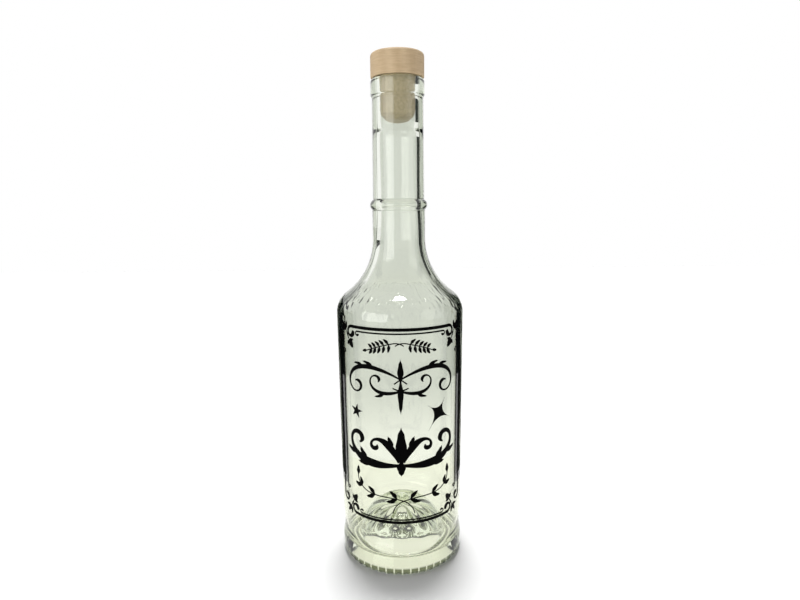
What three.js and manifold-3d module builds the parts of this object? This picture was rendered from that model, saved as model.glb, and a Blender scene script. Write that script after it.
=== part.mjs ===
// Half-litre clear glass spirit bottle: one moulded glass body with a deep punt, a bead round the
// neck and a banded mouth, closed by a push-in stopper and decorated on the front with cut film.
// The stopper is a synthetic shank glued into a turned wooden head.
// Millimetres, +Z up. The origin is the centre of the base, and the decorated front faces -Y.
import * as THREE from "three";
import { mergeVertices } from "three/addons/utils/BufferGeometryUtils.js";
import Module from "manifold-3d";

// Glass body, from the base up.
const bodyRadius = 35.5; // straight panel that carries the film
const bodyTop = 147; // height at which the shoulder leaves the panel
const panelBottom = 28.5; // height at which the panel starts
const wallThickness = 3.3; // body, shoulder and lower neck
const heelProud = 0.4; // heel band, proud of the panel
const heelFillet = 5;
const heelBandTop = 11.5;
const waistDepth = 0.55; // shallow waist between heel band and panel
const bearingWidth = 3.7; // flat ring that the bottle stands on
const shoulderRadius = 14; // convex arc out of the panel
const flareRadius = 36.2; // concave arc into the neck
const knurlCount = 48; // ridges pressed round the heel's corner
const knurlDepth = 0.7;
const faintestRidge = 0.07; // a ring with less is left round

// Punt, the cone pushed up into the base.
const puntHeight = 29.5; // plateau of the inside cone
const puntTopRadius = 11;
const puntShoulderRadius = 22; // where the cone's side meets its foot
const puntShoulderHeight = 21.9;
const puntThickness = 4.5;
const puntFullness = 0.72; // how square the underside's curve is, from 0 to 1
const fluteCount = 10; // rays pressed into the underside
const fluteDepth = 0.8;
const floorHeight = 10; // lowest ring of the inside
const innerHeelFillet = 3.2;
const nippleRadius = 4.3; // small button on top of the cone
const nippleHeight = 3.5;
const nippleEdge = 0.9; // rounding at its foot and its top

// Neck and mouth.
const neckLength = 80.8; // end of the flare to the lip
const lowerNeckRadius = 14.25; // below the bead
const beadRise = 17.5; // end of the flare to the middle of the bead
const beadRadius = 15.45;
const beadRound = 3.2; // radius of the bead's own section
const midNeckRadius = 13.75; // just above the bead
const topNeckRadius = 13.3; // just below the mouth's band
const lipRadius = 13.95;
const lipBand = 7.6;
const lipBlend = 2.4; // height of the slope under the band
const lipFillet = 1.5;
const boreRadius = 9.3; // seat of the stopper
const boreLength = 24.4;
const boreFillet = 0.8;
const boreStep = 1.4; // height over which the bore opens out into the neck
const neckInside = 10; // hollow of the neck below the bore

// Stopper.
const shankClearance = 0.1; // round the shank, in the bore and in the head's socket
const shankInsert = 20.8; // length below the head
const shankEndFillet = 4.8;
const shankTopChamfer = 0.6;
const headRadius = 13.9;
const headHeight = 11.8;
const headTopFillet = 1.6;
const headEdgeFillet = 0.5;
const socketDepth = 3;
const seatGap = 0.3; // under the head, over the lip

// Cut black film on the panel. Widths run round the glass, and the frame is the outer rectangle.
const filmThickness = 0.2;
const filmClearance = 0.12; // adhesive, between glass and film
const frameWidth = 82.6; // between the middles of the side lines
const frameTopMargin = 3.1; // top line below the panel's top
const frameBottomMargin = 6.6; // bottom line above the panel's bottom
const heavyLine = 1.7;
const fineLine = 0.85;
const topLineGap = 0.9; // clear space between heavy and fine line
const bottomLineGap = 0.35;
const sideLineGap = 3.5;
const drawnFrame = { width: 82.6, height: 108.8 }; // frame that the ornaments below are drawn for

const roundCorners = 40; // corners of a round section
const bendStep = 4.8; // longest run of a film facet round the glass
const stepEasing = 0.8; // under 1, a pen stroke's steps shorten towards its end

const heelRadius = bodyRadius + heelProud;
const bearingOuter = heelRadius - heelFillet;
const bearingInner = bearingOuter - bearingWidth;
const shoulderCentre = bodyRadius - shoulderRadius;
const flareCentre = lowerNeckRadius + flareRadius;
const flareRise = Math.sqrt((shoulderRadius + flareRadius) ** 2 - (flareCentre - shoulderCentre) ** 2);
const flareTop = bodyTop + flareRise;
const flareAngle = Math.atan2(flareRise, flareCentre - shoulderCentre);
const lipTop = flareTop + neckLength;
const beadHeight = flareTop + beadRise;
const shankRadius = boreRadius - shankClearance;
const headBottom = lipTop + seatGap;

const frameBottom = panelBottom + frameBottomMargin;
const frameHeight = bodyTop - frameTopMargin - frameBottom;
const frameMiddle = frameBottom + frameHeight / 2;
const acrossScale = frameWidth / drawnFrame.width;
const upScale = frameHeight / drawnFrame.height;
const artScale = Math.sqrt(acrossScale * upScale);
const filmRadius = bodyRadius + filmClearance;

const wasm = await Module();
wasm.setup();

// Points of an arc about (centreR, centreZ), angles in radians, both ends included.
function arc(centreR, centreZ, radius, from, to, steps) {
  return Array.from({ length: steps + 1 }, (_, i) => {
    const angle = from + ((to - from) * i) / steps;
    return [centreR + radius * Math.cos(angle), centreZ + radius * Math.sin(angle)];
  });
}

// Points of a quadratic curve, without the first, because what comes before ends there.
function bend(start, control, end, steps) {
  const curve = new THREE.QuadraticBezierCurve(...[start, control, end].map((p) => new THREE.Vector2(...p)));
  return curve
    .getPoints(steps)
    .slice(1)
    .map((p) => [p.x, p.y]);
}

// Corners of a ring round the axis. Ridges alternate in and out, and flutes rise and fall.
function ring([radius, height], { corners = roundCorners, ridge = 0, flute = 0 } = {}) {
  return Array.from({ length: corners }, (_, i) => {
    const angle = (2 * Math.PI * i) / corners;
    const r = radius - (i % 2) * ridge;
    return [r * Math.cos(angle), r * Math.sin(angle), height + flute * Math.cos(fluteCount * angle)];
  });
}

// Facets between two rings, given as corner indices. The rings may differ in number of corners.
function band(before, after) {
  const facets = [];
  let i = 0;
  let j = 0;
  while (i < before.length || j < after.length) {
    const here = before[i % before.length];
    const there = after[j % after.length];
    if (j === after.length || (i + 1) / before.length <= (j + 1) / after.length) {
      i += 1;
      facets.push(here, before[i % before.length], there);
    } else {
      j += 1;
      facets.push(here, after[j % after.length], there);
    }
  }
  return facets;
}

// Closed body over rings, from a point on the axis below the first to one above the last.
function ringBody(firstHeight, rings, lastHeight) {
  const corners = [...rings.flat(), [0, 0, firstHeight], [0, 0, lastHeight]];
  const firstPole = corners.length - 2;
  const lastPole = corners.length - 1;
  let start = 0;
  const indices = rings.map((corner) => {
    const own = corner.map((_, i) => start + i);
    start += corner.length;
    return own;
  });
  const facets = indices.slice(1).flatMap((after, i) => band(indices[i], after));
  const first = indices[0];
  const last = indices.at(-1);
  first.forEach((a, i) => facets.push(firstPole, first[(i + 1) % first.length], a));
  last.forEach((a, i) => facets.push(lastPole, a, last[(i + 1) % last.length]));
  const geometry = new THREE.BufferGeometry();
  geometry.setAttribute("position", new THREE.Float32BufferAttribute(corners.flat(), 3));
  geometry.setIndex(facets);
  geometry.computeVertexNormals();
  return geometry;
}

// Fluted underside of the punt, from near the axis to the ring that the bottle stands on.
function puntUnderside() {
  const top = puntHeight - puntThickness;
  const profile = bend([0, top], [bearingInner * puntFullness, top], [bearingInner, 0], 6);
  return profile.map((point, i) => {
    const share = (i + 1) / profile.length;
    return ring(point, { flute: fluteDepth * Math.sin(Math.PI * share) ** 2 });
  });
}

// Corner of the heel, with ridges that fade out at both ends.
function knurledHeel() {
  const profile = arc(bearingOuter, heelFillet, heelFillet, -Math.PI / 2, 0, 5);
  return profile.map((point, i) => {
    const share = i / (profile.length - 1);
    const ridge = knurlDepth * Math.sin(Math.PI * share);
    return ridge > faintestRidge ? ring(point, { corners: 2 * knurlCount, ridge }) : ring(point);
  });
}

// Outside of the bottle, from the heel's band up to the lip.
function outsideProfile() {
  const beadCentre = beadRadius - beadRound;
  const beadStart = -Math.acos((lowerNeckRadius - beadCentre) / beadRound);
  const beadEnd = Math.acos((midNeckRadius - beadCentre) / beadRound);
  const bandBottom = lipTop - lipBand;
  const waistHeight = (heelBandTop + panelBottom) / 2;
  const waistRadius = bodyRadius - waistDepth;
  const intoWaist = [waistRadius, (heelBandTop + waistHeight) / 2];
  const outOfWaist = [waistRadius, (waistHeight + panelBottom) / 2];
  return [
    [heelRadius, heelBandTop],
    ...bend([heelRadius, heelBandTop], intoWaist, [waistRadius, waistHeight], 3),
    ...bend([waistRadius, waistHeight], outOfWaist, [bodyRadius, panelBottom], 2),
    ...arc(shoulderCentre, bodyTop, shoulderRadius, 0, flareAngle, 5),
    ...arc(flareCentre, flareTop, flareRadius, flareAngle + Math.PI, Math.PI, 6).slice(1),
    ...arc(beadCentre, beadHeight, beadRound, beadStart, beadEnd, 5),
    [topNeckRadius, bandBottom - lipBlend],
    [(topNeckRadius + lipRadius) / 2, bandBottom - lipBlend / 3],
    [lipRadius, bandBottom],
    ...arc(lipRadius - lipFillet, lipTop - lipFillet, lipFillet, 0, Math.PI / 2, 3),
  ];
}

// Inside of the bottle, from the lip down to the button on the punt.
function insideProfile() {
  const boreBottom = lipTop - boreLength;
  const inside = bodyRadius - wallThickness;
  const foot = inside - innerHeelFillet;
  const shoulder = [puntShoulderRadius, puntShoulderHeight];
  return [
    ...arc(boreRadius + boreFillet, lipTop - boreFillet, boreFillet, Math.PI / 2, Math.PI, 2),
    [boreRadius, boreBottom],
    [neckInside, boreBottom - boreStep],
    [neckInside, beadHeight + beadRound],
    ...arc(flareCentre, flareTop, flareRadius + wallThickness, Math.PI, Math.PI + flareAngle, 5),
    ...arc(shoulderCentre, bodyTop, shoulderRadius - wallThickness, flareAngle, 0, 3).slice(1),
    ...arc(foot, floorHeight + innerHeelFillet, innerHeelFillet, 0, -Math.PI / 2, 2),
    ...bend([foot, floorHeight], [puntShoulderRadius + wallThickness, floorHeight], shoulder, 3),
    ...bend(shoulder, [(puntShoulderRadius + puntTopRadius) / 2, puntHeight], [puntTopRadius, puntHeight], 3),
    [nippleRadius + nippleEdge, puntHeight],
    [nippleRadius, puntHeight + nippleEdge],
    [nippleRadius - nippleEdge, puntHeight + nippleHeight],
  ];
}

function glassBottle() {
  const rings = [
    ...puntUnderside(),
    ...knurledHeel(),
    ...outsideProfile().map((point) => ring(point)),
    ...insideProfile().map((point) => ring(point)),
  ];
  return ringBody(puntHeight - puntThickness, rings, puntHeight + nippleHeight);
}

// A turned solid. The profile runs up round its outside, from the axis back to the axis.
function turned(profile) {
  const points = profile.map(([r, z]) => new THREE.Vector2(r, z));
  return new THREE.LatheGeometry(points, roundCorners).rotateX(Math.PI / 2); // turned about +Y
}

// Synthetic shank, from the middle of its lower end up to the end glued in the head.
function stopperShank() {
  const bottom = headBottom - shankInsert;
  const top = headBottom + socketDepth - shankClearance;
  return turned([
    [0, bottom],
    ...arc(shankRadius - shankEndFillet, bottom + shankEndFillet, shankEndFillet, -Math.PI / 2, 0, 4),
    [shankRadius, top - shankTopChamfer],
    [shankRadius - shankTopChamfer, top],
    [0, top],
  ]);
}

// Turned wooden head with a blind socket for the shank.
function stopperHead() {
  const top = headBottom + headHeight;
  const socketRadius = shankRadius + shankClearance;
  return turned([
    [0, headBottom + socketDepth],
    [socketRadius, headBottom + socketDepth],
    [socketRadius, headBottom],
    ...arc(headRadius - headEdgeFillet, headBottom + headEdgeFillet, headEdgeFillet, -Math.PI / 2, 0, 2),
    ...arc(headRadius - headTopFillet, top - headTopFillet, headTopFillet, 0, Math.PI / 2, 4),
    [0, top],
  ]);
}

// A flat shape is an outline of [along, up] points with facets that index them.
const reshaped = (place) => (shape) => ({ ...shape, outline: shape.outline.map(place) });
const mirrored = reshaped(([u, v]) => [-u, v]);
const flipped = reshaped(([u, v]) => [u, -v]);
const upright = reshaped(([u, v]) => [-v, u]); // a top line becomes a left line
const toScale = reshaped(([u, v]) => [u * acrossScale, v * upScale]);
const moved = (shape, du, dv) => reshaped(([u, v]) => [u + du, v + dv])(shape);

function polygon(outline) {
  const points = outline.map(([u, v]) => new THREE.Vector2(u, v));
  return { outline, facets: THREE.ShapeUtils.triangulateShape(points, []) };
}

// A strip between two sides that have the same number of points.
function strip(right, left) {
  const last = 2 * right.length - 1;
  const facets = right.slice(1).flatMap((_, i) => [
    [i, i + 1, last - i - 1],
    [i, last - i - 1, last - i],
  ]);
  return { outline: [...right, ...left.toReversed()], facets };
}

// Width along a stroke, from stops of [share of the length, width].
function taper(stops) {
  return (share) => {
    const next = Math.max(1, stops.findIndex(([at]) => at >= share));
    const [startShare, startWidth] = stops[next - 1];
    const [endShare, endWidth] = stops[next];
    return startWidth + ((endWidth - startWidth) * (share - startShare)) / (endShare - startShare);
  };
}

// Sections of a pen stroke. Curvature is a function of the share of its length, and the sections
// get closer together towards the end.
function penPath({ start, heading, length, curvature, steps }) {
  const sections = [];
  let [u, v] = start;
  let angle = THREE.MathUtils.degToRad(heading);
  for (let i = 0; i <= steps; i++) {
    const share = (i / steps) ** stepEasing;
    const nextShare = ((i + 1) / steps) ** stepEasing;
    const run = (nextShare - share) * length;
    const turn = curvature((share + nextShare) / 2) * run;
    sections.push({ at: [u, v], angle, share });
    u += run * Math.cos(angle + turn / 2);
    v += run * Math.sin(angle + turn / 2);
    angle += turn;
  }
  return sections;
}

// Both sides of a pen stroke, whose width is a function of the share of its length.
function strokeSides(pen) {
  const side = (sign) =>
    penPath(pen).map(({ at: [u, v], angle, share }) => {
      const half = (sign * pen.width(share)) / 2;
      return [u - half * Math.sin(angle), v + half * Math.cos(angle)];
    });
  return { right: side(-1), left: side(1) };
}

function stroke(pen) {
  const { right, left } = strokeSides(pen);
  return strip(right, left);
}

const leafTaper = taper([
  [0, 0.3],
  [0.4, 1],
  [0.75, 0.7],
  [1, 0.1],
]);

// A pointed leaf from its foot, which curls to the left by the given degrees.
function leaf(start, heading, length, width, curl = 0) {
  const curvature = THREE.MathUtils.degToRad(curl) / length;
  return stroke({
    start,
    heading,
    length,
    curvature: () => curvature,
    width: (share) => width * leafTaper(share),
    steps: 3,
  });
}

// A leaf whose foot is on a stem, at one of the stem's sections, turned from its direction.
function leafOn(stem, section, turn, length, width, curl) {
  const { at, angle } = penPath(stem)[section];
  return leaf(at, THREE.MathUtils.radToDeg(angle) + turn, length, width, curl);
}

// Pen of a stroke that winds up towards its end. Positive values turn left.
function swirl(start, heading, length, lead, winding, widths) {
  return {
    start,
    heading,
    length,
    curvature: (share) => lead + winding * share ** 3,
    width: taper(widths),
    steps: 20,
  };
}

// A frame line along the top, its middle at the origin. It runs straight to the reach on both
// sides, in sections, then curls down and back into a knob.
function curledLine(reach, width, { length, firstRadius, lastRadius, knob }, sections) {
  const { right, left } = strokeSides({
    start: [reach, 0],
    heading: 0,
    length: length * artScale,
    curvature: (share) => -1 / (artScale * (firstRadius + (lastRadius - firstRadius) * share)),
    width: taper([
      [0, width],
      [0.3, width * 0.75],
      [0.55, width * 0.75],
      [0.8, knob * artScale],
      [0.92, knob * artScale],
      [1, (knob * artScale) / 2],
    ]),
    steps: 12,
  });
  const otherEnd = (side) => side.map(([u, v]) => [-u, v]).reverse();
  const straight = (v) =>
    Array.from({ length: sections - 1 }, (_, i) => [((2 * (i + 1)) / sections - 1) * reach, v]);
  return strip(
    [...otherEnd(right), ...straight(-width / 2), ...right],
    [...otherEnd(left), ...straight(width / 2), ...left],
  );
}

const heavyCurl = { length: 12, firstRadius: 3.2, lastRadius: 1.4, knob: 2.4 };
const fineCurl = { length: 4.6, firstRadius: 1.2, lastRadius: 0.75, knob: 1.2 };
const cornerInset = { topHeavy: 12.9, topFine: 17.2, sideHeavy: 7.4, sideFine: 14.2 }; // to the curl

// The eight lines of the frame, keyed by node name.
function frameLines() {
  const halfWidth = frameWidth / 2;
  const halfHeight = frameHeight / 2;
  const step = (gap) => heavyLine / 2 + gap + fineLine / 2;
  const across = (inset, width, curl) => {
    const reach = halfWidth - inset * artScale;
    return curledLine(reach, width, curl, Math.ceil((2 * reach) / bendStep));
  };
  const up = (inset, width, curl) => upright(curledLine(halfHeight - inset * artScale, width, curl, 1));
  const heavyAcross = across(cornerInset.topHeavy, heavyLine, heavyCurl);
  const fineAcross = across(cornerInset.topFine, fineLine, fineCurl);
  const heavyUp = up(cornerInset.sideHeavy, heavyLine, heavyCurl);
  const fineUp = up(cornerInset.sideFine, fineLine, fineCurl);
  const heavyLeft = moved(heavyUp, -halfWidth, 0);
  const fineLeft = moved(fineUp, step(sideLineGap) - halfWidth, 0);
  return {
    film_line_top: [moved(heavyAcross, 0, halfHeight)],
    film_line_bottom: [moved(flipped(heavyAcross), 0, -halfHeight)],
    film_line_left: [heavyLeft],
    film_line_right: [mirrored(heavyLeft)],
    film_fine_line_top: [moved(fineAcross, 0, halfHeight - step(topLineGap))],
    film_fine_line_bottom: [moved(flipped(fineAcross), 0, step(bottomLineGap) - halfHeight)],
    film_fine_line_left: [fineLeft],
    film_fine_line_right: [mirrored(fineLeft)],
  };
}

// Corner ornament for the top right. The frame's corner is at the origin, and a fan of three buds
// sits outside the curls, joined by a stem to a spade inside them.
function cornerOrnament() {
  const fan = [-8, -2.6];
  const spade = [-10.9, -7.6];
  return [
    leaf(fan, 96, 4.6, 1.5, 8),
    leaf(fan, 52, 5.4, 1.8),
    leaf(fan, 10, 5, 1.4, -8),
    leaf(fan, 240, 6.4, 1),
    leaf(spade, 234, 4.6, 2.8),
    leaf(spade, 178, 2.8, 1.5, -25),
    leaf(spade, 290, 2.8, 1.5, 25),
  ];
}

function cornerOrnaments() {
  const corner = (shape) => moved(toScale(shape), frameWidth / 2, frameHeight / 2);
  const topRight = cornerOrnament().map(corner);
  return {
    film_corner_top_right: topRight,
    film_corner_top_left: topRight.map(mirrored),
    film_corner_bottom_right: topRight.map(flipped),
    film_corner_bottom_left: topRight.map(flipped).map(mirrored),
  };
}

// Laurel under the top line: two stems that cross in the middle, with leaves in pairs.
function topLaurel() {
  const stem = {
    start: [-2.4, 46.4],
    heading: 16,
    length: 20,
    curvature: () => -0.045,
    width: () => 0.5,
    steps: 9,
  };
  const leaves = [3, 4, 5, 6, 7, 8].flatMap((section, i) => [
    leafOn(stem, section, 56 + 3 * i, 3.4 - 0.1 * i, 1.25, -10),
    leafOn(stem, section, -84 + 9 * i, 3.6 - 0.2 * i, 1.5, 16),
  ]);
  return [stroke(stem), ...leaves, leafOn(stem, 9, 30, 3, 1.3)];
}

// Laurel over the bottom line: two long stems that cross and trail, with open pairs of leaves.
function bottomLaurel() {
  const crossingShare = 0.25;
  const rise = (share) => ((share - crossingShare) / (1 - crossingShare)) ** 2;
  const stem = {
    start: [-7.4, -49.3],
    heading: 72,
    length: 42,
    curvature: (share) => (share < crossingShare ? -0.115 : 0.018 + 0.1 * rise(share)),
    width: () => 0.6,
    steps: 16,
  };
  const leaves = [
    { section: 5, length: 6.6 },
    { section: 9, length: 6.2 },
    { section: 13, length: 5.4 },
  ].flatMap(({ section, length }) => [
    leafOn(stem, section, 52, length, 2.3, -34),
    leafOn(stem, section, -46, length, 2.4, 38),
  ]);
  return [stroke(stem), ...leaves, leafOn(stem, 16, 0, 5.8, 2.5)];
}

// Upper flourish: fine pen scrolls that cross in the middle, round a tall lozenge.
function upperFlourish() {
  const main = swirl([-3.4, 25.6], 38, 60, -0.022, -0.42, [
    [0, 0.7],
    [0.42, 2.5],
    [0.8, 0.9],
    [0.95, 1.9],
    [1, 0.9],
  ]);
  const under = swirl([-4.2, 23.4], -26, 34, 0.03, 0.6, [
    [0, 0.7],
    [0.4, 2],
    [0.8, 0.8],
    [0.94, 1.7],
    [1, 0.8],
  ]);
  return [
    stroke(main),
    stroke(under),
    leafOn(main, 5, 34, 7.4, 2, -36),
    leafOn(main, 7, 36, 7, 1.8, -40),
    leafOn(under, 6, -40, 6.4, 1.8, 36),
  ];
}

const upperFlourishMiddle = () => [leaf([0, 26.6], 90, 12, 3.4), leaf([0, 28], -90, 19, 3.2)];

// Lower flourish: bold scrolls on both sides of a palmette.
function lowerFlourish() {
  const outer = swirl([-1.5, -20], -6, 54, 0.01, 0.42, [
    [0, 1.6],
    [0.36, 4.8],
    [0.72, 2],
    [0.93, 3],
    [1, 1.6],
  ]);
  const inner = swirl([1, -18.5], 66, 30, -0.02, -0.78, [
    [0, 2],
    [0.35, 4],
    [0.72, 1.4],
    [0.93, 2.6],
    [1, 1.2],
  ]);
  return [
    stroke(outer),
    stroke(inner),
    leafOn(outer, 6, 34, 9, 3.4, 20),
    leafOn(outer, 5, -26, 9.5, 3.2, 26),
    leafOn(outer, 9, -34, 8.4, 2.8, 30),
    leafOn(inner, 4, 30, 8, 3, -20),
  ];
}

const lowerFlourishMiddle = () => [leaf([0, -19], 90, 20.5, 6.2), leaf([0, -17.5], -90, 9, 5)];

// A star with straight sides.
function star([u, v], points, outer, inner, turn) {
  const outline = Array.from({ length: 2 * points }, (_, i) => {
    const radius = i % 2 ? inner : outer;
    const angle = THREE.MathUtils.degToRad(turn) + (i * Math.PI) / points;
    return [u + radius * Math.cos(angle), v + radius * Math.sin(angle)];
  });
  return polygon(outline);
}

// A sparkle: rays of different lengths, a quarter turn apart, with hollow sides between them.
function sparkle([u, v], rays, waist, turn) {
  const onRay = (length, quarters) => {
    const angle = THREE.MathUtils.degToRad(turn) + (quarters * Math.PI) / 2;
    return [u + length * Math.cos(angle), v + length * Math.sin(angle)];
  };
  const outline = rays.flatMap((ray, i) => {
    const next = rays[(i + 1) % rays.length];
    return bend(onRay(ray, i), onRay(waist, i + 0.5), onRay(next, i + 1), 5);
  });
  return polygon(outline);
}

// The ornaments inside the frame, keyed by node name. Drawn halves are mirrored about the middle.
function ornaments() {
  const whole = (half, middle = []) => [...half, ...half.map(mirrored), ...middle].map(toScale);
  return {
    film_laurel_top: whole(topLaurel()),
    film_laurel_bottom: whole(bottomLaurel()),
    film_flourish_upper: whole(upperFlourish(), upperFlourishMiddle()),
    film_flourish_lower: whole(lowerFlourish(), lowerFlourishMiddle()),
    film_star: [toScale(star([-26.2, 7.9], 5, 2.8, 1.2, 80))],
    film_sparkle: [toScale(sparkle([21.5, 8.3], [7.6, 8.3, 11.2, 10.3], 0.4, 58))],
  };
}

// Facets of a flat solid of the film's thickness, as triples of [along, up, out] corners.
function slab({ outline, facets }) {
  const low = outline.map(([u, v]) => [u, v, 0]);
  const high = outline.map(([u, v]) => [u, v, filmThickness]);
  const sides = outline.flatMap((_, i) => {
    const next = (i + 1) % outline.length;
    return [
      [low[i], low[next], high[next]],
      [low[i], high[next], high[i]],
    ];
  });
  const lids = facets.map(([a, b, c]) => [high[a], high[b], high[c]]);
  const backs = facets.map(([a, b, c]) => [low[a], low[c], low[b]]);
  const solid = [...lids, ...backs, ...sides];
  const inverted = THREE.ShapeUtils.isClockWise(outline.map(([u, v]) => new THREE.Vector2(u, v)));
  return inverted ? solid.map(([a, b, c]) => [a, c, b]) : solid;
}

function toGeometry(facets) {
  const geometry = new THREE.BufferGeometry();
  geometry.setAttribute("position", new THREE.Float32BufferAttribute(facets.flat(2), 3));
  return geometry;
}

// Flat solids joined into one.
function joined(solids) {
  const manifolds = solids.map((facets) => {
    const merged = mergeVertices(toGeometry(facets));
    const vertProperties = merged.attributes.position.array;
    const triVerts = new Uint32Array(merged.index.array);
    return new wasm.Manifold(new wasm.Mesh({ numProp: 3, vertProperties, triVerts }));
  });
  const whole = manifolds.reduce((sum, next) => sum.add(next)).getMesh();
  const corner = (i) => Array.from(whole.vertProperties.subarray(3 * i, 3 * i + 3));
  const corners = Array.from(whole.triVerts, corner);
  return corners.flatMap((_, i) => (i % 3 ? [] : [corners.slice(i, i + 3)]));
}

// Halves facets until none runs further than bendStep round the glass.
function splitForBending(facets) {
  const pending = [...facets];
  const done = [];
  while (pending.length) {
    const facet = pending.pop();
    const runs = facet.map((corner, i) => Math.abs(corner[0] - facet[(i + 1) % 3][0]));
    const widest = runs.indexOf(Math.max(...runs));
    if (runs[widest] <= bendStep) {
      done.push(facet);
      continue;
    }
    const [a, b, c] = [0, 1, 2].map((i) => facet[(widest + i) % 3]);
    const middle = a.map((x, i) => (x + b[i]) / 2);
    pending.push([a, middle, c], [middle, b, c]);
  }
  return done;
}

function bent([u, v, out]) {
  const angle = u / filmRadius;
  const radius = filmRadius + out;
  return [radius * Math.sin(angle), -radius * Math.cos(angle), frameMiddle + v];
}

// One piece of film: its shapes joined flat, then bent round the glass.
function film(shapes) {
  const solids = shapes.map(slab);
  const flat = solids.length > 1 ? joined(solids) : solids[0];
  const geometry = toGeometry(splitForBending(flat).map((facet) => facet.map(bent)));
  geometry.computeVertexNormals();
  return geometry;
}

const glass = new THREE.MeshStandardMaterial({
  color: 0xdfe8dc,
  roughness: 0.05,
  metalness: 0,
  transparent: true,
  opacity: 0.35,
});
const wood = new THREE.MeshStandardMaterial({ color: 0xcfae84, roughness: 0.7, metalness: 0 });
const synthetic = new THREE.MeshStandardMaterial({ color: 0xb9a57c, roughness: 0.55, metalness: 0 });
const blackFilm = new THREE.MeshStandardMaterial({ color: 0x0b0b0c, roughness: 0.4, metalness: 0 });

const bottle = new THREE.Group();

function add(name, geometry, material) {
  const mesh = new THREE.Mesh(geometry, material);
  mesh.name = name;
  bottle.add(mesh);
}

add("glass_bottle", glassBottle(), glass);
add("stopper_shank", stopperShank(), synthetic);
add("stopper_head", stopperHead(), wood);
const filmPieces = { ...frameLines(), ...cornerOrnaments(), ...ornaments() };
Object.entries(filmPieces).forEach(([name, outlines]) => add(name, film(outlines), blackFilm));

export default bottle;
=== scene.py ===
"""Half-litre clear glass spirit bottle with a wood-headed stopper and black film on its front.

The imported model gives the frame. This script adds the fine glass, the stopper's wood and
synthetic, and the film's curves, then a plain studio and the photograph's camera. Metres.
"""

import math

import bmesh
import bpy
from mathutils import Matrix, Vector, noise

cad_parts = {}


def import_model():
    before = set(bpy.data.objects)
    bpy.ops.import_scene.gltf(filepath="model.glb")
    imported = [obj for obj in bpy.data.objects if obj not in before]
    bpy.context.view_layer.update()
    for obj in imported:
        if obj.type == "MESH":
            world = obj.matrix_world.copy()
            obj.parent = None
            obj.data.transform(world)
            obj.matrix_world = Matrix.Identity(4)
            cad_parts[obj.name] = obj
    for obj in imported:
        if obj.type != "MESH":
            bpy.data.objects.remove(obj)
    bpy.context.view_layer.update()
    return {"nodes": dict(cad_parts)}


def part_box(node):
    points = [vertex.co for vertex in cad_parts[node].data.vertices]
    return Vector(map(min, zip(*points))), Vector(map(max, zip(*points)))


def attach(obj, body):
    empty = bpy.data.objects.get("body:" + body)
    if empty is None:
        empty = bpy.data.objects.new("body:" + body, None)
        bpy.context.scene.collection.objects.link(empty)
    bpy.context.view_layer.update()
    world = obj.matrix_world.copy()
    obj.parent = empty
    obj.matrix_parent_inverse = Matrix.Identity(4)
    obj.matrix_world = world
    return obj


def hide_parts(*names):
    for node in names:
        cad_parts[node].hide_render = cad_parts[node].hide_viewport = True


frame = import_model()

MM = 0.001

# Glass, in the solid's sizes but for the step under the bore. Its reach comes from the frame.
GLASS_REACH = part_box("glass_bottle")[1]
HEEL_RADIUS = GLASS_REACH[0]
LIP_TOP = GLASS_REACH[2]
HEEL_PROUD = 0.4 * MM
BODY_RADIUS = HEEL_RADIUS - HEEL_PROUD
BODY_TOP = 147 * MM
PANEL_BOTTOM = 28.5 * MM
WALL = 3.3 * MM
HEEL_FILLET = 5 * MM
HEEL_BAND_TOP = 11.5 * MM
WAIST_DEPTH = 0.55 * MM
BEARING_WIDTH = 3.7 * MM
SHOULDER_ROUND = 14 * MM
FLARE_ROUND = 36.2 * MM
KNURL_COUNT = 48
KNURL_DEPTH = 0.7 * MM
PUNT_HEIGHT = 29.5 * MM
PUNT_TOP_RADIUS = 11 * MM
PUNT_SHOULDER = (22 * MM, 21.9 * MM)
PUNT_THICKNESS = 4.5 * MM
PUNT_FULLNESS = 0.72
FLUTE_COUNT = 10
FLUTE_DEPTH = 0.55 * MM
FLUTE_LEAN = 0.6  # under 1, the flutes are deepest near the top
FLOOR_HEIGHT = 10 * MM
INNER_HEEL_FILLET = 3.2 * MM
BUTTON_RADIUS = 4.3 * MM
BUTTON_HEIGHT = 3.5 * MM
LOWER_NECK_RADIUS = 14.25 * MM
BEAD_BELOW_LIP = 63.3 * MM
BEAD_RADIUS = 15.45 * MM
BEAD_ROUND = 3.2 * MM
BEAD_ROOT = 0.5 * MM  # height over which the bead's shading runs into the neck's
MID_NECK_RADIUS = 13.75 * MM
TOP_NECK_RADIUS = 13.3 * MM
LIP_RADIUS = 13.95 * MM
LIP_BAND = 7.6 * MM
LIP_BLEND = 2.4 * MM
LIP_FILLET = 1.5 * MM
BORE_RADIUS = 9.3 * MM
BORE_LENGTH = 24.4 * MM
BORE_FILLET = 0.8 * MM
BORE_STEP = 2.4 * MM  # longer than the solid's, so that the stopper's round end shows through it
NECK_INSIDE = 10 * MM
WAVE_DEPTH = 0.22 * MM  # unevenness of the blown inside wall
WAVE_PITCH = 1.6
WAVE_FADE = 40 * MM  # height over which the waves come in
RIPPLE_DEPTH = 0.6 * MM  # dimples on the inside of the shoulder
RIPPLE_PITCH = 17.0
RIPPLE_MIDDLE = BODY_TOP + 0.7 * SHOULDER_ROUND
RIPPLE_REACH = 0.45 * SHOULDER_ROUND
SEAM_HEIGHT = 0.12 * MM  # mould seam on both sides
SEAM_WIDTH = 1.2 * MM
GLASS_SEGMENTS = 7 * KNURL_COUNT
EDGE_SHADE_ATTRIBUTE = "painted_edge_shade"  # attribute: how far the body's outside takes the painted shade of the dark line just inside a glass edge
# Heights where the edges' painted shade starts and ends, and over which it fades in.
EDGE_SHADE_FOOT = 38 * MM
EDGE_SHADE_TOP = 172 * MM
EDGE_SHADE_FADE = 15 * MM

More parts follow.
